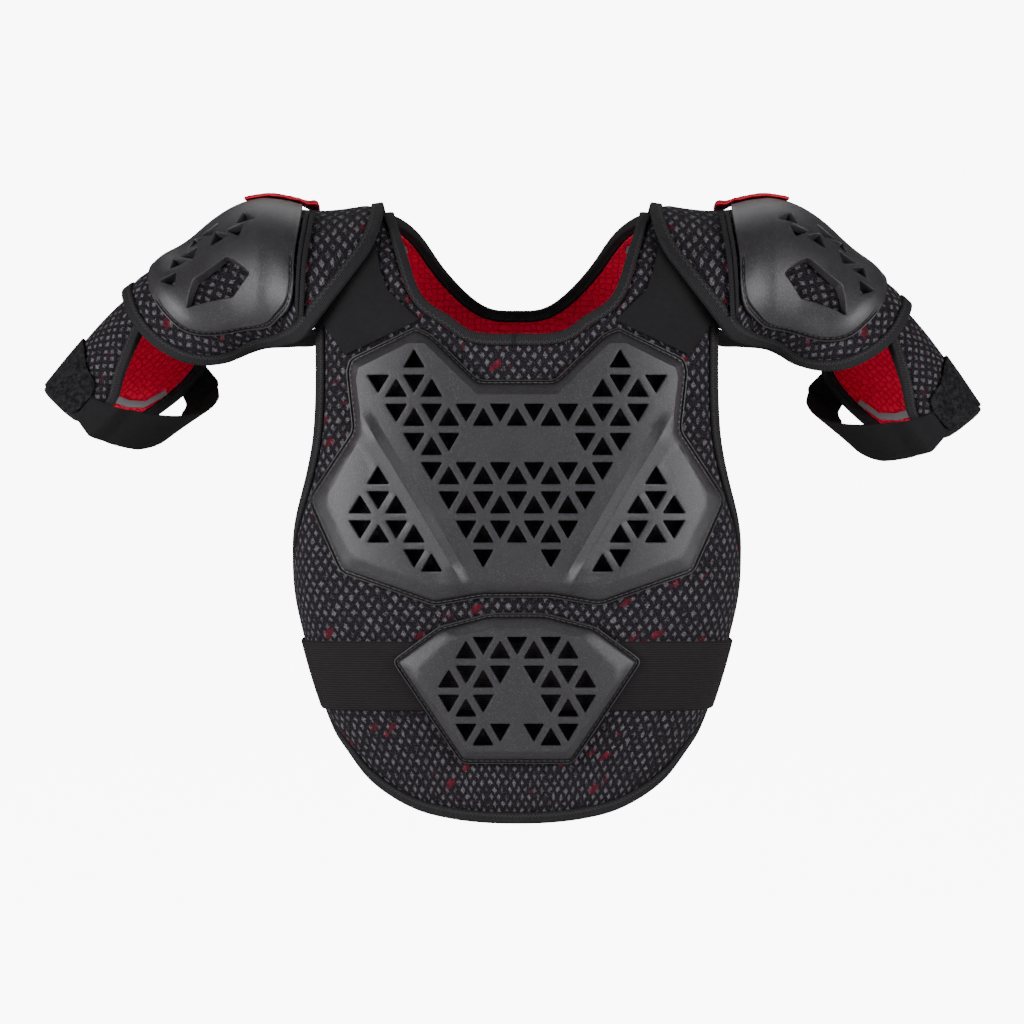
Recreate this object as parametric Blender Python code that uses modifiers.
"""Child's roost deflector: padded mesh vest with moulded plates, shoulder caps and upper arm guards.

Metres, +Z up. The front faces -Y and the wearer's left is +X. The origin is where the vest hangs on the
shoulders: mid-width, mid-depth, at the underside of the highest line of the shoulder yokes.
"""

import math

import bmesh
import bpy
import numpy as np
from mathutils import Vector
from mathutils.geometry import delaunay_2d_cdt

# Vest body: the hollow that the trunk fills
TORSO_WIDTH = 0.269
TORSO_DEPTH = 0.164
VEST_LENGTH = 0.371
BEND_HEIGHT = 0.070
NECK_WIDTH = 0.160
SHOULDER_FALL = 0.17
CORNER_POWER = 3.5

# Soft layers
PANEL_THICKNESS = 0.005
BINDING_WIDTH = 0.007
BINDING_PROUD = 0.0004
LINING_THICKNESS = 0.001
STRAP_THICKNESS = 0.0012
BELT_THICKNESS = 0.0016
BELT_WIDTH = 0.042
BELT_TOP = 0.260
PAD_THICKNESS = 0.0036
GUARD_THICKNESS = 0.005
LAYER_GAP = 0.0006
EDGE_GAP = 0.0007

# Moulded plates
PLATE_WALL = 0.002
CHEST_WIDTH = 0.241
CHEST_HEIGHT = 0.1668
CHEST_DROP = 0.002
CHEST_TOP = BEND_HEIGHT + CHEST_DROP
CHEST_RISE = 0.0055
ABDOMEN_WIDTH = 0.144
ABDOMEN_HEIGHT = 0.0912
PLATE_SPACE = 0.0036
ABDOMEN_TOP = CHEST_TOP + CHEST_HEIGHT + PLATE_SPACE
ABDOMEN_RISE = 0.005
FLANGE = 0.0035
CORNER_CUT = 0.003
GRID_SIDE = 0.0201
GRID_RIB = 0.0044
VEE_RIB_HALF = 0.0045
VEE_RIB_RISE = 0.0015
CAP_RISE = 0.0028
CAP_GAP = 0.0004

# Shoulder and upper arm
LIMB_LENGTH = 0.2175
LIMB_GIRTH_RADIUS = 0.050
DROOP = {"left": math.radians(5.0), "right": 0.0}
PIPING_RADIUS = 0.0013
TAPE_THICKNESS = 0.0007
TAPE_GAP = 0.0013
GRIP_WIDTH = 0.005

SIDES = {"left": 1.0, "right": -1.0}
TAB_THICKNESS = 0.002
UNDERARM_GAP = 0.001
FACET = 0.020
STEP = 0.0005
FLATTEST = 0.00003


# Tables and plane outlines


def smooth_row(keys, rows, key):
    """The row of a table at key: cubic between the rows, with each row's slope taken from its neighbours."""
    keys = np.asarray(keys, float)
    rows = np.asarray(rows, float)
    slopes = np.gradient(rows, keys, axis=0)
    key = min(max(key, keys[0]), keys[-1])
    i = min(max(int(np.searchsorted(keys, key)) - 1, 0), len(keys) - 2)
    h = keys[i + 1] - keys[i]
    r = (key - keys[i]) / h
    return (
        (2 * r**3 - 3 * r**2 + 1) * rows[i]
        + (r**3 - 2 * r**2 + r) * h * slopes[i]
        + (3 * r**2 - 2 * r**3) * rows[i + 1]
        + (r**3 - r**2) * h * slopes[i + 1]
    )


def mirrored(half):
    """A closed outline from its half, which runs along +u from the middle line back to the middle line."""
    half = [tuple(p) for p in half]
    inner = [p for p in half if p[0] > 1e-9]
    start = [half[0]] if half[0][0] <= 1e-9 else []
    end = [half[-1]] if half[-1][0] <= 1e-9 else []
    return start + inner + end + [(-u, w) for u, w in reversed(inner)]


def area(loop):
    p = np.asarray(loop)
    q = np.roll(p, -1, axis=0)
    return float((p[:, 0] * q[:, 1] - q[:, 0] * p[:, 1]).sum() / 2)


def smoothed(loop, step):
    """A closed outline through the same points, rounded, with a point about every step."""
    p = np.asarray(loop, float)
    found = []
    for i in range(len(p)):
        a, b, c, d = (p[(i + k) % len(p)] for k in (-1, 0, 1, 2))
        count = max(1, int(round(np.linalg.norm(c - b) / step)))
        ab, bc, cd = (max(math.sqrt(np.linalg.norm(y - x)), 1e-6) for x, y in ((a, b), (b, c), (c, d)))
        for k in range(count):
            t = k / count
            m1 = ((b - a) / ab - (c - a) / (ab + bc) + (c - b) / bc) * bc
            m2 = ((c - b) / bc - (d - b) / (bc + cd) + (d - c) / cd) * bc
            found.append(
                (2 * t**3 - 3 * t**2 + 1) * b
                + (t**3 - 2 * t**2 + t) * m1
                + (3 * t**2 - 2 * t**3) * c
                + (t**3 - t**2) * m2
            )
    return np.array(found)


def clipped_corners(loop, cut):
    """A closed outline whose corners are cut back, by less where an edge is short."""
    p = np.asarray(loop, float)
    found = []
    for i in range(len(p)):
        before, here, after = p[i - 1], p[i], p[(i + 1) % len(p)]
        for other in (before, after):
            way = other - here
            length = np.linalg.norm(way)
            found.append(here + way * min(cut, 0.3 * length) / length)
    return np.array(found)


def divided(loop, step, closed=True):
    p = np.asarray(loop, float)
    found = []
    for i in range(len(p) if closed else len(p) - 1):
        a, b = p[i], p[(i + 1) % len(p)]
        count = max(1, int(math.ceil(np.linalg.norm(b - a) / step)))
        found.extend(a + (b - a) * k / count for k in range(count))
    if not closed:
        found.append(p[-1])
    return np.array(found)


def inset(loop, distance, fold=0.98):
    """A closed outline moved inwards, corner by corner, without the points that a tight bend folds back."""
    p = np.asarray(loop, float)
    turn = 1.0 if area(p) > 0 else -1.0
    before = p - np.roll(p, 1, axis=0)
    after = np.roll(p, -1, axis=0) - p
    before /= np.linalg.norm(before, axis=1)[:, None]
    after /= np.linalg.norm(after, axis=1)[:, None]
    left = np.stack([-(before + after)[:, 1], (before + after)[:, 0]], axis=1)
    left /= np.linalg.norm(left, axis=1)[:, None]
    straight = np.stack([-after[:, 1], after[:, 0]], axis=1)
    reach = np.maximum((left * straight).sum(axis=1), 0.5)
    moved = p + left * (turn * distance / reach)[:, None]
    return moved[distance_to(moved, p) > fold * distance]


def within_binding(loop):
    """The outline of what a binding goes round, a small gap inside the binding's inner edge."""
    return inset(inset(loop, BINDING_WIDTH), EDGE_GAP, fold=0.4)


def inside(points, loop):
    """Which points lie inside a closed outline, by counting its edges to the right of each."""
    points = np.atleast_2d(points)
    a = np.asarray(loop, float)
    b = np.roll(a, -1, axis=0)
    x, y = points[:, 0, None], points[:, 1, None]
    spans = (a[None, :, 1] > y) != (b[None, :, 1] > y)
    rise = np.where(b[:, 1] == a[:, 1], 1.0, b[:, 1] - a[:, 1])
    cross = a[None, :, 0] + (y - a[None, :, 1]) * ((b - a)[:, 0] / rise)[None, :]
    return (spans & (x < cross)).sum(axis=1) % 2 == 1


def distance_to(points, line, closed=True):
    """The distance of each point from a line of straight edges."""
    points = np.atleast_2d(points)
    a = np.asarray(line, float)
    b = np.roll(a, -1, axis=0)
    if not closed:
        a, b = a[:-1], b[:-1]
    edge = b - a
    share = ((points[:, None] - a[None]) * edge[None]).sum(axis=2) / (edge**2).sum(axis=1)[None]
    near = a[None] + np.clip(share, 0, 1)[..., None] * edge[None]
    return np.linalg.norm(points[:, None] - near, axis=2).min(axis=1)


def without_flat_rims(faces, points):
    """The triangles less those of no width whose long side lies on a straight rim."""
    shared = {}
    for face in faces:
        for i in range(3):
            edge = frozenset((face[i], face[(i + 1) % 3]))
            shared[edge] = shared.get(edge, 0) + 1
    kept = []
    for face in faces:
        corners = [points[i] for i in face]
        edges = [(np.linalg.norm(corners[i] - corners[(i + 1) % 3]), i) for i in range(3)]
        length, i = max(edges)
        if abs(area(corners)) * 2 / length > FLATTEST or shared[frozenset((face[i], face[(i + 1) % 3]))] > 1:
            kept.append(face)
    return kept


def pattern(outer, holes=(), lines=(), grid=(0.02, 0.02), grid_in=None, bent_above=None):
    """Triangles that fill an outline outside its holes, with an edge along each line.

    Rows of the grid lie half as far apart where the sheet is bent, above the height bent_above.
    """
    verts = []
    edges = []
    kept_lines = [(outer, True)] + [(h, True) for h in holes] + list(lines)
    for line, closed in kept_lines:
        first = len(verts)
        verts.extend(tuple(p) for p in line)
        count = len(line)
        edges.extend((first + i, first + i + 1) for i in range(count - 1))
        if closed:
            edges.append((first + count - 1, first))
    fixed = np.array(verts)
    if grid:
        low, high = fixed.min(axis=0), fixed.max(axis=0)
        middle = (low + high) / 2
        count = int(math.ceil((high - middle)[0] / grid[0]))
        heights = [middle[1]]
        while bent_above is None and heights[-1] < high[1]:
            heights.append(heights[-1] + grid[1])
        if bent_above is not None:
            heights = list(np.arange(bent_above, high[1], grid[1] / 2))[::-1]
        while heights[-1] > low[1] if bent_above is not None else False:
            heights.append(heights[-1] - grid[1])
        if bent_above is None:
            heights += list(np.arange(middle[1] - grid[1], low[1], -grid[1]))
        for row, height in enumerate(heights):
            for column in range(-count - 1, count + 1):
                p = np.array([middle[0] + (column + 0.5 * (row % 2)) * grid[0], height])
                if not inside(p, outer)[0] or any(inside(p, h)[0] for h in holes):
                    continue
                if grid_in is not None and not inside(p, grid_in)[0]:
                    continue
                if np.linalg.norm((fixed - p) / grid, axis=1).min() < 0.45:
                    continue
                if min(distance_to(p, line, closed)[0] for line, closed in kept_lines) < 0.25 * min(grid):
                    continue
                verts.append(tuple(p))
    found = delaunay_2d_cdt([Vector(v) for v in verts], edges, [], 0, 1e-7)
    points = np.array([tuple(v) for v in found[0]])
    faces = [f for f in found[2] if len(f) == 3]
    centres = np.array([points[list(f)].mean(axis=0) for f in faces])
    keep = inside(centres, outer)
    for hole in holes:
        keep &= ~inside(centres, hole)
    faces = without_flat_rims([f for f, kept in zip(faces, keep) if kept], points)
    used = sorted({i for f in faces for i in f})
    place = {old: new for new, old in enumerate(used)}
    return points[used], [tuple(place[i] for i in f) for f in faces]


# Form of the trunk: u runs round the section from the middle line, h down or up from the shoulder bend

# Columns: depth below the crest, half width and half depth of the hollow, as shares of the named sizes
TORSO_ROWS = (
    (0.19, 0.974, 1.00),
    (0.35, 0.978, 1.00),
    (0.54, 1.000, 1.00),
    (0.63, 0.989, 1.00),
    (0.70, 0.948, 0.97),
    (0.82, 0.848, 0.92),
    (0.89, 0.770, 0.89),
    (1.00, 0.690, 0.86),
)
BODY_LENGTH = VEST_LENGTH - BEND_HEIGHT
QUARTER_STEPS = 1200


def quarter_section():
    """Shares of the arc, the width and the depth along a quarter of the rounded-square section."""
    u = np.linspace(0, 1, QUARTER_STEPS)
    angle = np.pi / 2 * u**1.75 / (u**1.75 + (1 - u) ** 1.75)
    across = np.sin(angle) ** (2 / CORNER_POWER)
    deep = np.cos(angle) ** (2 / CORNER_POWER)
    arc = np.concatenate(
        [[0], np.cumsum(np.hypot(np.diff(across) * TORSO_WIDTH / 2, np.diff(deep) * TORSO_DEPTH / 2))]
    )
    return arc[-1], arc / arc[-1], across, deep


QUARTER_LENGTH, ARC_SHARE, ACROSS, DEEP = quarter_section()
BEND_LENGTH = math.pi / 2 * math.sqrt((BEND_HEIGHT**2 + (0.47 * TORSO_DEPTH) ** 2) / 2)


def torso_base(u, w):
    """The inner surface at arc length u from the front middle line and height w from the shoulder bend."""
    depth = BEND_HEIGHT - min(w, 0.0)
    half = smooth_row(
        [row[0] * VEST_LENGTH for row in TORSO_ROWS], [row[1:] for row in TORSO_ROWS], depth
    )
    turn = abs(u) / QUARTER_LENGTH
    side = math.copysign(1.0, u)
    share = turn if turn <= 1 else 2 - turn
    x = side * np.interp(share, ARC_SHARE, ACROSS) * half[0] * TORSO_WIDTH / 2
    y = -np.interp(share, ARC_SHARE, DEEP) * half[1] * TORSO_DEPTH / 2
    if turn > 1:
        y = -y
    z = -depth
    if w > 0:
        bend = w / BEND_LENGTH * math.pi / 2
        crest = -SHOULDER_FALL * max(abs(x) - NECK_WIDTH / 2, 0.0)
        y *= math.cos(bend)
        z = -BEND_HEIGHT + (crest + BEND_HEIGHT) * math.sin(bend)
    return Vector((x, y, z))


def offset_on(base, u, w, distance, outward):
    """A point at a distance from a surface, along its normal."""
    du = base(u + STEP, w) - base(u - STEP, w)
    dw = base(u, w + STEP) - base(u, w - STEP)
    normal = du.cross(dw).normalized()
    return base(u, w) + normal * distance * outward


def front_point(u, w, distance=0.0):
    return offset_on(torso_base, u, w, distance, 1.0)


def back_point(u, w, distance=0.0):
    """The same as front_point with u from the back middle line, so it is the front turned half round."""
    p = front_point(u, w, distance)
    return Vector((-p.x, -p.y, p.z))


def torso_place(degrees, height):
    """Plane coordinates from degrees round the section and a height, -1 at the hem and +1 at the crest."""
    return degrees / 90 * QUARTER_LENGTH, height * (BEND_LENGTH if height > 0 else BODY_LENGTH)


def seen_point(x, z, distance=0.0):
    """A point of the front surface that is seen from the front at x, z."""
    w = z + BEND_HEIGHT
    if w > 0:
        crest = -SHOULDER_FALL * max(abs(x) - NECK_WIDTH / 2, 0.0)
        w = math.asin(min(w / (crest + BEND_HEIGHT), 1.0)) / (math.pi / 2) * BEND_LENGTH
    half = smooth_row(
        [row[0] * VEST_LENGTH for row in TORSO_ROWS],
        [row[1] for row in TORSO_ROWS],
        BEND_HEIGHT - min(w, 0.0),
    )
    share = min(abs(x) / (half * TORSO_WIDTH / 2), 1.0)
    u = np.interp(share, ACROSS, ARC_SHARE) * QUARTER_LENGTH
    return front_point(math.copysign(u, x), w, distance)


# Form of the shoulder and upper arm: s runs along the limb, a is the angle from the top towards the front

# Columns: share of the limb's length, its middle out from the neck's edge and up from the shoulder bend,
# both as shares of the limb's length, tilt in degrees, half depth and half height as shares of the trunk's depth
LIMB_ROWS = (
    (0.000, 0.0092, -0.0002, 0.0, 0.5239, 0.4748),
    (0.152, 0.1612, 0.0088, 3.0, 0.4642, 0.4323),
    (0.329, 0.3222, 0.0828, 20.0, 0.3541, 0.3475),
    (0.494, 0.4832, 0.0458, 38.0, 0.3050, 0.2387),
    (0.678, 0.6302, -0.0642, 43.0, 0.2560, 0.2440),
    (0.860, 0.7682, -0.1842, 43.0, 0.2201, 0.2201),
    (1.000, 0.8642, -0.2852, 43.0, 0.1989, 0.2069),
)
DROOP_FROM = 0.329


def limb_base(side, u, w):
    """The inner surface of the sleeve at length u along the limb, at angle w / LIMB_GIRTH_RADIUS from the top."""
    droop = DROOP[side]
    share = u / LIMB_LENGTH
    row = smooth_row([r[0] for r in LIMB_ROWS], [r[1:] for r in LIMB_ROWS], min(share, 1.0))
    centre = np.array([row[0], row[1]])
    tilt = math.radians(row[2])
    if share > 1:
        centre = centre + (share - 1) * np.array([math.cos(tilt), -math.sin(tilt)])
    if share > DROOP_FROM and droop:
        pivot = np.array(LIMB_ROWS[2][1:3])
        turn = droop * min((share - DROOP_FROM) / 0.2, 1.0)
        c, s = math.cos(turn), math.sin(turn)
        arm = centre - pivot
        centre = pivot + np.array([c * arm[0] + s * arm[1], -s * arm[0] + c * arm[1]])
        tilt += turn
    angle = w / LIMB_GIRTH_RADIUS
    up = row[4] * math.cos(angle) * TORSO_DEPTH
    out = NECK_WIDTH / 2 + centre[0] * LIMB_LENGTH + up * math.sin(tilt)
    high = -BEND_HEIGHT + centre[1] * LIMB_LENGTH + up * math.cos(tilt)
    return Vector((SIDES[side] * out, -row[3] * math.sin(angle) * TORSO_DEPTH, high))


def limb_point(side):
    """The function that places a point on this side's shoulder and arm."""
    outward = -SIDES[side]

    def place(u, w, distance=0.0):
        return offset_on(lambda a, b: limb_base(side, a, b), u, w, distance, outward)

    return place


def limb_place(rows):
    """Plane coordinates from rows of length share and degrees."""
    return [(s * LIMB_LENGTH, math.radians(a) * LIMB_GIRTH_RADIUS) for s, a in rows]


# Building


def make_collection(name, hidden=False):
    made = bpy.data.collections.new(name)
    bpy.context.scene.collection.children.link(made)
    made.hide_render = hidden
    return made


def make_material(name, color, roughness, metallic=0.0):
    made = bpy.data.materials.new(name)
    made.use_nodes = True
    shader = made.node_tree.nodes["Principled BSDF"]
    shader.inputs["Base Color"].default_value = (*color, 1.0)
    shader.inputs["Roughness"].default_value = roughness
    shader.inputs["Metallic"].default_value = metallic
    made.diffuse_color = (*color, 1.0)
    return made


def wrapped(name, flat, place, base, thickness, material, relief=None):
    """A flat pattern, extruded, with its two sides laid on a surface at base and at base plus thickness."""
    points, faces = flat
    lift = np.zeros(len(points)) if relief is None else relief(points)
    sheet = bmesh.new()
    inner = [sheet.verts.new((u, w, 0.0)) for u, w in points]
    for face in faces:
        sheet.faces.new([inner[i] for i in face])
    bmesh.ops.recalc_face_normals(sheet, faces=sheet.faces[:])
    if sum(face.normal.z for face in sheet.faces) > 0:
        bmesh.ops.reverse_faces(sheet, faces=sheet.faces[:])
    rest = sheet.faces[:]
    raised = bmesh.ops.extrude_face_region(sheet, geom=rest, use_keep_orig=True)["geom"]
    outer = [v for v in raised if isinstance(v, bmesh.types.BMVert)]
    heights = {(round(u, 7), round(w, 7)): h for (u, w), h in zip(points, lift)}
    spots = [(v, tuple(v.co), v in outer_set) for outer_set in [set(outer)] for v in sheet.verts]
    for vertex, (u, w, _), is_outer in spots:
        height = base + heights[(round(u, 7), round(w, 7))] + (thickness if is_outer else 0.0)
        vertex.co = place(u, w, height)
    if sheet.calc_volume(signed=True) < 0:
        bmesh.ops.reverse_faces(sheet, faces=sheet.faces[:])
    mesh = bpy.data.meshes.new(name)
    sheet.to_mesh(mesh)
    sheet.free()
    mesh.shade_smooth()
    mesh.set_sharp_from_angle(angle=math.radians(35))
    made = bpy.data.objects.new(name, mesh)
    part.objects.link(made)
    made.data.materials.append(material)
    return made


def ring_band(name, depth_top, depth_bottom, offset, thickness, material, turns=52, rows=3):
    """A band round the whole section between two heights."""
    verts = []
    for row in range(rows):
        z = -(depth_top + (depth_bottom - depth_top) * row / (rows - 1))
        for i in range(turns):
            u = (i / turns * 4 - 2) * QUARTER_LENGTH
            verts.append(tuple(front_point(u, z + BEND_HEIGHT, offset)))
    faces = []
    for row in range(rows - 1):
        for i in range(turns):
            j = (i + 1) % turns
            faces.append(
                (row * turns + i, (row + 1) * turns + i, (row + 1) * turns + j, row * turns + j)
            )
    mesh = bpy.data.meshes.new(name)
    mesh.from_pydata(verts, [], faces)
    mesh.shade_smooth()
    made = bpy.data.objects.new(name, mesh)
    part.objects.link(made)
    made.data.materials.append(material)
    wall = made.modifiers.new("Wall", "SOLIDIFY")
    wall.thickness = thickness
    wall.offset = 1.0
    return made


def triangle_gap(column, row_top, up):
    """One gap of the triangle grid: the grid's triangle less half a rib on each side."""
    height = GRID_SIDE * math.sqrt(3) / 2
    middle = column * GRID_SIDE / 2
    reach = GRID_SIDE / math.sqrt(3) - GRID_RIB
    if up:
        centre = row_top - height + GRID_SIDE / math.sqrt(3) / 2
        way = 1.0
    else:
        centre = row_top - GRID_SIDE / math.sqrt(3) / 2
        way = -1.0
    return [
        (middle + reach * math.sin(math.radians(k)), centre + way * reach * math.cos(math.radians(k)))
        for k in (0, 120, 240)
    ]


def plate_gaps(rows, first_row_top, even_up):
    """All gaps of a plate. Each row names its columns on one half, counted in half grid sides."""
    height = GRID_SIDE * math.sqrt(3) / 2
    found = []
    for number, columns in enumerate(rows):
        for column in sorted({c * s for c in columns for s in (-1, 1)}):
            up = (column + number + (0 if even_up else 1)) % 2 == 0
            found.append(triangle_gap(column, first_row_top - number * height, up))
    return found


def shares(rows, width, height, top):
    return [(u * width / 2, -(top + w * height)) for u, w in rows]


for old in list(bpy.data.objects):
    bpy.data.objects.remove(old, do_unlink=True)

part = make_collection("roost_deflector")

mesh_cloth = make_material("mesh_cloth", (0.030, 0.028, 0.034), 0.9)
binding_tape = make_material("binding_tape", (0.012, 0.012, 0.013), 0.85)
red_cloth = make_material("red_cloth", (0.55, 0.008, 0.03), 0.8)
strap_cloth = make_material("strap_cloth", (0.016, 0.016, 0.017), 0.85)
moulded = make_material("moulded", (0.065, 0.062, 0.070), 0.5)
grey_tape = make_material("grey_tape", (0.16, 0.16, 0.17), 0.7)

# Front and back panels, each with a folded tape round its whole edge

# Columns: degrees round from the middle line, height from -1 at the hem to +1 at the crest
NECK_FRONT = ((0, -0.02), (8, -0.02), (14, -0.013), (19, 0.03), (27.5, 0.14), (33, 0.42), (37, 0.75))
NECK_BACK = ((0, 0.17), (8, 0.18), (14, 0.24), (23, 0.42), (31, 0.70), (36.5, 0.88))
ARMHOLE = (
    (38.2, 0.93),
    (40.5, 0.965),
    (48, 0.97),
    (55, 0.965),
    (58, 0.93),
    (60.5, 0.60),
    (61.3, 0.10),
    (61.2, -0.15),
    (62.5, -0.25),
    (66, -0.33),
    (72, -0.40),
    (80, -0.47),
    (84, -0.56),
)
HEM = ((84, -0.76), (76, -0.815), (68, -0.85), (58, -0.914), (43, -0.967), (27, -0.99), (0, -1.0))
SIDE_REACH = {"front": 0.0, "back": 4.0}

panel_outlines = {}
for which, neck in (("front", NECK_FRONT), ("back", NECK_BACK)):
    rows = [
        (degrees + (SIDE_REACH[which] if degrees > 70 else 0.0), height)
        for degrees, height in neck + ARMHOLE + HEM
    ]
    panel_outlines[which] = smoothed(mirrored([torso_place(*row) for row in rows]), 0.9 * FACET)
    outer = panel_outlines[which]
    place = front_point if which == "front" else back_point
    wrapped(
        which + "_panel",
        pattern(within_binding(outer), grid=(1.1 * FACET, 1.9 * FACET), bent_above=0.0),
        place,
        0.0,
        PANEL_THICKNESS,
        mesh_cloth,
    )
    wrapped(
        which + "_binding",
        pattern(outer, holes=[inset(outer, BINDING_WIDTH)], grid=None),
        place,
        -BINDING_PROUD,
        PANEL_THICKNESS + 2 * BINDING_PROUD,
        binding_tape,
    )

wrapped(
    "back_lining",
    pattern(
        within_binding(panel_outlines["back"]), grid=(1.1 * FACET, 1.9 * FACET), bent_above=0.0
    ),
    back_point,
    -LAYER_GAP - LINING_THICKNESS,
    LINING_THICKNESS,
    red_cloth,
)

# Elastic belt round both panels

outside_panel = PANEL_THICKNESS + BINDING_PROUD
ring_band(
    "waist_belt",
    BELT_TOP,
    BELT_TOP + BELT_WIDTH,
    outside_panel + LAYER_GAP,
    BELT_THICKNESS,
    strap_cloth,
)

# Chest plate: sewn flange, slope up to a pierced field, two raised ribs in a vee

# Columns: share of the half width, share of the height from the top
CHEST_OUTLINE = (
    (0, 0.191),
    (0.189, 0.191),
    (0.423, 0.025),
    (0.498, 0),
    (0.538, 0.014),
    (0.813, 0.112),
    (0.830, 0.158),
    (0.800, 0.371),
    (1, 0.608),
    (1, 0.640),
    (0.859, 0.885),
    (0.408, 1.0),
    (0.169, 0.971),
    (0, 0.971),
)
CHEST_FIELD = (
    (0, 0.245),
    (0.20, 0.245),
    (0.45, 0.062),
    (0.53, 0.062),
    (0.755, 0.148),
    (0.765, 0.19),
    (0.735, 0.385),
    (0.89, 0.60),
    (0.89, 0.65),
    (0.775, 0.83),
    (0.40, 0.93),
    (0.17, 0.912),
    (0, 0.912),
)
CHEST_GAPS = (
    (6,),
    (5, 6, 7, 8),
    (0, 1, 2, 3, 4, 5, 6, 7),
    (4, 5, 6),
    (0, 1, 2, 3, 4, 5, 8),
    (0, 1, 2, 3, 4, 7, 8, 9),
    (0, 1, 2, 3, 6, 7, 8, 9),
    (2, 5, 6),
)
CHEST_GRID_TOP = 0.0570
VEE_RIB = ((0.722, 0.263), (0.254, 0.905))


def plate_relief(outline, field, rise, ribs=()):
    """Height over the flange: none on it, then up the slope to the field, and a ridge along each rib."""

    def relief(points):
        out = np.maximum(distance_to(points, outline) - FLANGE, 0.0)
        rest = np.where(inside(points, field), 0.0, distance_to(points, field))
        rest = np.where(rest < 1e-6, 0.0, rest)
        lift = rise * out / np.maximum(out + rest, 1e-9)
        for rib in ribs:
            near = distance_to(points, rib, closed=False)
            lift = lift + VEE_RIB_RISE * np.clip(1 - near / VEE_RIB_HALF, 0, 1)
        return lift

    return relief


def rib_lines(rib):
    """The middle of a rib and the two lines where its sides end."""
    a, b = np.array(rib[0]), np.array(rib[1])
    way = (b - a) / np.linalg.norm(b - a)
    across = np.array([-way[1], way[0]]) * VEE_RIB_HALF
    ends = way * VEE_RIB_HALF
    return [
        (divided([a, b], 1.5 * FACET, closed=False), False),
        (divided([a - ends, a + across, b + across, b + ends, b - across, a - across], 1.5 * FACET), True),
    ]


def plate_parts(outline_rows, field_rows, width, height, top, cut):
    outline = clipped_corners(mirrored(shares(outline_rows, width, height, top)), cut)
    field = mirrored(shares(field_rows, width, height, top))
    return outline, np.array(field)


chest_outline, chest_field = plate_parts(
    CHEST_OUTLINE, CHEST_FIELD, CHEST_WIDTH, CHEST_HEIGHT, CHEST_TOP, CORNER_CUT
)
ribs = [
    [(s * u, w) for u, w in shares(VEE_RIB, CHEST_WIDTH, CHEST_HEIGHT, CHEST_TOP)] for s in (1, -1)
]
chest_gaps = plate_gaps(CHEST_GAPS, -(CHEST_TOP + CHEST_GRID_TOP * CHEST_HEIGHT), True)
chest_lines = [(divided(inset(chest_outline, FLANGE), 1.3 * FACET), True), (divided(chest_field, 1.3 * FACET), True)]
for rib in ribs:
    chest_lines += rib_lines(rib)
on_panel = outside_panel + LAYER_GAP
wrapped(
    "chest_plate",
    pattern(divided(chest_outline, 0.7 * FACET), chest_gaps, chest_lines, (FACET, FACET), chest_field),
    seen_point,
    on_panel,
    PLATE_WALL,
    moulded,
    plate_relief(chest_outline, chest_field, CHEST_RISE, ribs),
)

# Abdomen plate: the same make, over the belt

ABDOMEN_OUTLINE = ((0, 0), (0.236, 0), (0.646, 0.086), (1, 0.30), (1, 0.34), (0.46, 1), (0, 1))
ABDOMEN_FIELD = ((0, 0.10), (0.22, 0.10), (0.55, 0.155), (0.81, 0.36), (0.81, 0.44), (0.41, 0.905), (0, 0.905))
ABDOMEN_GAPS = ((0, 1, 2, 3), (1, 2, 3, 4), (2, 3, 4), (1, 2, 3))
ABDOMEN_GRID_TOP = 0.125

abdomen_outline, abdomen_field = plate_parts(
    ABDOMEN_OUTLINE, ABDOMEN_FIELD, ABDOMEN_WIDTH, ABDOMEN_HEIGHT, ABDOMEN_TOP, CORNER_CUT
)
abdomen_gaps = plate_gaps(ABDOMEN_GAPS, -(ABDOMEN_TOP + ABDOMEN_GRID_TOP * ABDOMEN_HEIGHT), False)
on_belt = outside_panel + 2 * LAYER_GAP + BELT_THICKNESS
wrapped(
    "abdomen_plate",
    pattern(
        divided(abdomen_outline, 0.7 * FACET),
        abdomen_gaps,
        [(divided(inset(abdomen_outline, FLANGE), FACET), True), (divided(abdomen_field, FACET), True)],
        (FACET, FACET),
        abdomen_field,
    ),
    seen_point,
    on_belt,
    PLATE_WALL,
    moulded,
    plate_relief(abdomen_outline, abdomen_field, ABDOMEN_RISE),
)

# Shoulder strap, pad, cap, tab, arm guard and arm strap of each side

# Columns: share of the chest plate's half width, depth below the plate's top as a share of its height
STRAP_FOOT = ((0.838, 0.0992), (0.485, -0.0225))
# Columns: share of the chest plate's half width, depth below the crest as a share of the bend height
STRAP_ROWS = (
    (0.635, 0.74),
    (0.668, 0.60),
    (0.700, 0.36),
    (0.715, 0.10),
    (0.90, 0.26),
    (0.945, 0.60),
    (0.955, 0.95),
)

# Columns: share of the limb's length, degrees from the top towards the front
PAD_OUTLINE = (
    (0.005, 0),
    (0.002, 34),
    (0.025, 53),
    (0.079, 68),
    (0.130, 80),
    (0.175, 91),
    (0.225, 104),
    (0.300, 117),
    (0.400, 128),
    (0.510, 133),
    (0.590, 124),
    (0.645, 108),
    (0.672, 92),
    (0.684, 76),
    (0.684, 60),
    (0.670, 35),
    (0.655, 0),
    (0.655, -45),
    (0.650, -85),
    (0.600, -110),
    (0.480, -122),
    (0.330, -115),
    (0.210, -98),
    (0.130, -80),
    (0.060, -60),
    (0.010, -36),
)
CAP_OUTLINE = (
    (0.205, 20),
    (0.208, 40),
    (0.222, 62),
    (0.230, 79),
    (0.246, 89),
    (0.296, 100),
    (0.362, 109),
    (0.445, 111),
    (0.527, 105),
    (0.582, 92),
    (0.596, 75),
    (0.594, 57),
    (0.578, 38),
    (0.550, 16),
    (0.505, -8),
    (0.440, -26),
    (0.360, -34),
    (0.280, -32),
    (0.225, -16),
)
CAP_FIELD_INSET = 0.011
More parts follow.
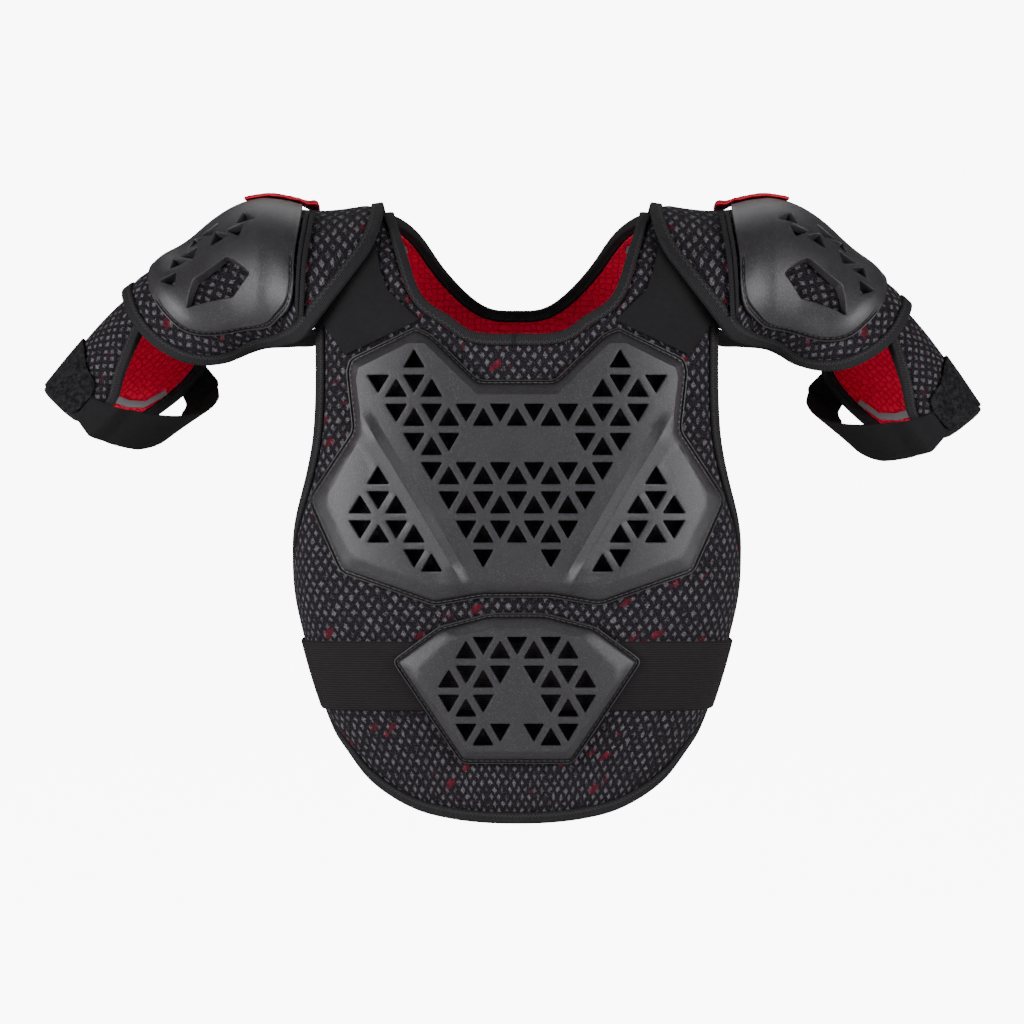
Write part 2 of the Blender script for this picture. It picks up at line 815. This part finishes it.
CAP_WINDOW = ((0.388, 61), (0.350, 76), (0.420, 87), (0.535, 81), (0.480, 65))
# Columns: length share and degrees of the middle, size as a length share, direction of the point in degrees
CAP_SMALL_GAPS = (
    (0.323, 38, 0.0239, 180),
    (0.347, 45, 0.0248, 0),
    (0.387, 44, 0.0257, 180),
    (0.397, 32, 0.0239, 0),
    (0.431, 32, 0.0230, 180),
    (0.455, 42, 0.0257, 0),
    (0.494, 45, 0.0257, 180),
    (0.529, 57, 0.0276, 0),
)
GUARD_OUTLINE = (
    (0.585, 50),
    (0.690, 66),
    (0.796, 82),
    (0.877, 96),
    (0.945, 95),
    (0.992, 82),
    (1.012, 45),
    (1.015, 0),
    (1.005, -50),
    (0.985, -92),
    (0.900, -114),
    (0.780, -119),
    (0.660, -113),
    (0.585, -98),
    (0.580, -40),
    (0.580, 10),
)
ARM_STRAP_ROWS = (
    (0.915, 78),
    (0.883, 98),
    (0.843, 120),
    (0.790, 145),
    (0.720, 175),
    (0.665, 205),
    (0.635, 236),
    (0.632, 254),
    (0.735, 254),
    (0.750, 236),
    (0.800, 210),
    (0.870, 180),
    (0.930, 150),
    (0.975, 118),
    (0.995, 98),
    (0.985, 78),
)
PATCH_ROWS = (
    (0.886, 74),
    (0.985, 74),
    (1.000, 45),
    (1.003, 0),
    (0.998, -40),
    (0.930, -48),
    (0.850, -35),
    (0.828, 0),
    (0.838, 33),
    (0.866, 54),
)
GRIP_ROWS = ((0.905, -72), (0.880, -92), (0.845, -106), (0.775, -111))
PIPING_ROWS = ((0.180, 26), (0.186, 45), (0.196, 62), (0.204, 78), (0.212, 92))
TAB_ROWS = ((0.175, -12), (0.175, 8), (0.320, 10), (0.320, -14))
NECK_TAPE_ROWS = ((34.6, 0.60), (34.9, 0.66), (40.0, 0.68), (39.7, 0.62))
PAD_LIFT_FROM = 0.42
PAD_LIFT_TO = 0.57


def pad_lift(points):
    """The pad rises over the top of the arm guard, which is tucked under it."""
    share = np.clip((points[:, 0] / LIMB_LENGTH - PAD_LIFT_FROM) / (PAD_LIFT_TO - PAD_LIFT_FROM), 0, 1)
    return (GUARD_THICKNESS + 2 * BINDING_PROUD + 2 * LAYER_GAP) * share * share * (3 - 2 * share)


def strap_lift(points):
    """The arm strap starts on the guard's outside, turns in round its edge and runs on under the arm."""
    degrees = np.degrees(points[:, 1] / LIMB_GIRTH_RADIUS)
    share = np.clip((degrees - 101) / 12, 0, 1) * np.clip((234 - degrees) / 12, 0, 1)
    top = GUARD_THICKNESS + BINDING_PROUD + 1.5 * LAYER_GAP
    return top + (UNDERARM_GAP - top) * share


def band_along(rows, half):
    """A narrow outline on both sides of a line."""
    line = divided(limb_place(rows), 0.6 * FACET, closed=False)
    way = np.gradient(line, axis=0)
    way /= np.linalg.norm(way, axis=1)[:, None]
    across = np.stack([-way[:, 1], way[:, 0]], axis=1) * half
    return np.concatenate([line + across, (line - across)[::-1]])


for side, sign in SIDES.items():
    place = limb_point(side)

    depths = [(u, CHEST_TOP + w * CHEST_HEIGHT) for u, w in STRAP_FOOT]
    depths += [(u, w * BEND_HEIGHT) for u, w in STRAP_ROWS]
    strap = [(sign * u * CHEST_WIDTH / 2, -depth) for u, depth in depths]
    wrapped(
        side + "_shoulder_strap",
        pattern(divided(strap, 0.5 * FACET), grid=(0.5 * FACET, 0.7 * FACET)),
        seen_point,
        on_panel,
        STRAP_THICKNESS,
        strap_cloth,
    )

    pad = smoothed(limb_place(PAD_OUTLINE), 0.8 * FACET)
    wrapped(
        side + "_shoulder_pad",
        pattern(within_binding(pad), grid=(FACET, 0.9 * FACET)),
        place,
        0.0,
        PAD_THICKNESS,
        mesh_cloth,
        pad_lift,
    )
    wrapped(
        side + "_pad_binding",
        pattern(pad, holes=[inset(pad, BINDING_WIDTH)], grid=None),
        place,
        -BINDING_PROUD,
        PAD_THICKNESS + 2 * BINDING_PROUD,
        binding_tape,
        pad_lift,
    )

    on_pad = PAD_THICKNESS + BINDING_PROUD + LAYER_GAP
    cap = smoothed(limb_place(CAP_OUTLINE), 0.5 * FACET)
    cap_field = inset(cap, CAP_FIELD_INSET)
    small = []
    for s, degrees, size, point in CAP_SMALL_GAPS:
        middle = np.array(limb_place([(s, degrees)])[0])
        small.append(
            [
                middle + size * LIMB_LENGTH * np.array([math.cos(math.radians(point + k)), math.sin(math.radians(point + k))])
                for k in (90, 210, 330)
            ]
        )
    cap_flat = plate_relief(cap, cap_field, CAP_RISE)
    wrapped(
        side + "_shoulder_cap",
        pattern(cap, [limb_place(CAP_WINDOW)] + small, [(cap_field, True)], (0.8 * FACET, 0.8 * FACET), cap_field),
        place,
        on_pad + CAP_GAP,
        PLATE_WALL,
        moulded,
        lambda points: pad_lift(points) + cap_flat(points),
    )

    path = divided(limb_place(PIPING_ROWS), 0.7 * FACET, closed=False)
    curve = bpy.data.curves.new(side + "_piping", "CURVE")
    curve.dimensions = "3D"
    curve.bevel_depth = PIPING_RADIUS
    curve.bevel_resolution = 1
    curve.use_fill_caps = True
    spline = curve.splines.new("POLY")
    spline.points.add(len(path) - 1)
    for point, (u, w) in zip(spline.points, path):
        point.co = (*place(u, w, on_pad + PIPING_RADIUS), 1.0)
    piping = bpy.data.objects.new(side + "_piping", curve)
    part.objects.link(piping)
    curve.materials.append(binding_tape)

    tab = limb_place(TAB_ROWS)
    wrapped(
        side + "_pull_tab",
        pattern(divided(tab, 0.4 * FACET), grid=(0.4 * FACET, 0.4 * FACET)),
        place,
        on_pad + CAP_GAP + PLATE_WALL + CAP_RISE + LAYER_GAP,
        TAB_THICKNESS,
        red_cloth,
    )

    guard = smoothed(limb_place(GUARD_OUTLINE), 0.7 * FACET)
    wrapped(
        side + "_arm_guard",
        pattern(within_binding(guard), grid=(1.1 * FACET, 0.55 * FACET)),
        place,
        0.0,
        GUARD_THICKNESS,
        mesh_cloth,
    )
    wrapped(
        side + "_arm_binding",
        pattern(guard, holes=[inset(guard, BINDING_WIDTH)], grid=None),
        place,
        -BINDING_PROUD,
        GUARD_THICKNESS + 2 * BINDING_PROUD,
        binding_tape,
    )
    wrapped(
        side + "_arm_lining",
        pattern(within_binding(guard), grid=(1.1 * FACET, 0.55 * FACET)),
        place,
        -LAYER_GAP - LINING_THICKNESS,
        LINING_THICKNESS,
        red_cloth,
    )
    wrapped(
        side + "_arm_strap",
        pattern(divided(limb_place(ARM_STRAP_ROWS), 0.5 * FACET), grid=(0.7 * FACET, 0.5 * FACET)),
        place,
        0.0,
        STRAP_THICKNESS,
        strap_cloth,
        strap_lift,
    )
    wrapped(
        side + "_hook_patch",
        pattern(smoothed(limb_place(PATCH_ROWS), 0.45 * FACET), grid=(0.7 * FACET, 0.5 * FACET)),
        place,
        GUARD_THICKNESS + BINDING_PROUD + LAYER_GAP,
        STRAP_THICKNESS,
        strap_cloth,
    )
    wrapped(
        side + "_grip_strip",
        pattern(band_along(GRIP_ROWS, GRIP_WIDTH / 2), grid=None),
        place,
        -LAYER_GAP - LINING_THICKNESS - TAPE_GAP - TAPE_THICKNESS,
        TAPE_THICKNESS,
        grey_tape,
    )
    tape = [torso_place(-sign * degrees, height) for degrees, height in NECK_TAPE_ROWS]
    wrapped(
        side + "_neck_tape",
        pattern(tape, grid=None),
        back_point,
        -LAYER_GAP - LINING_THICKNESS - TAPE_GAP - TAPE_THICKNESS,
        TAPE_THICKNESS,
        grey_tape,
    )
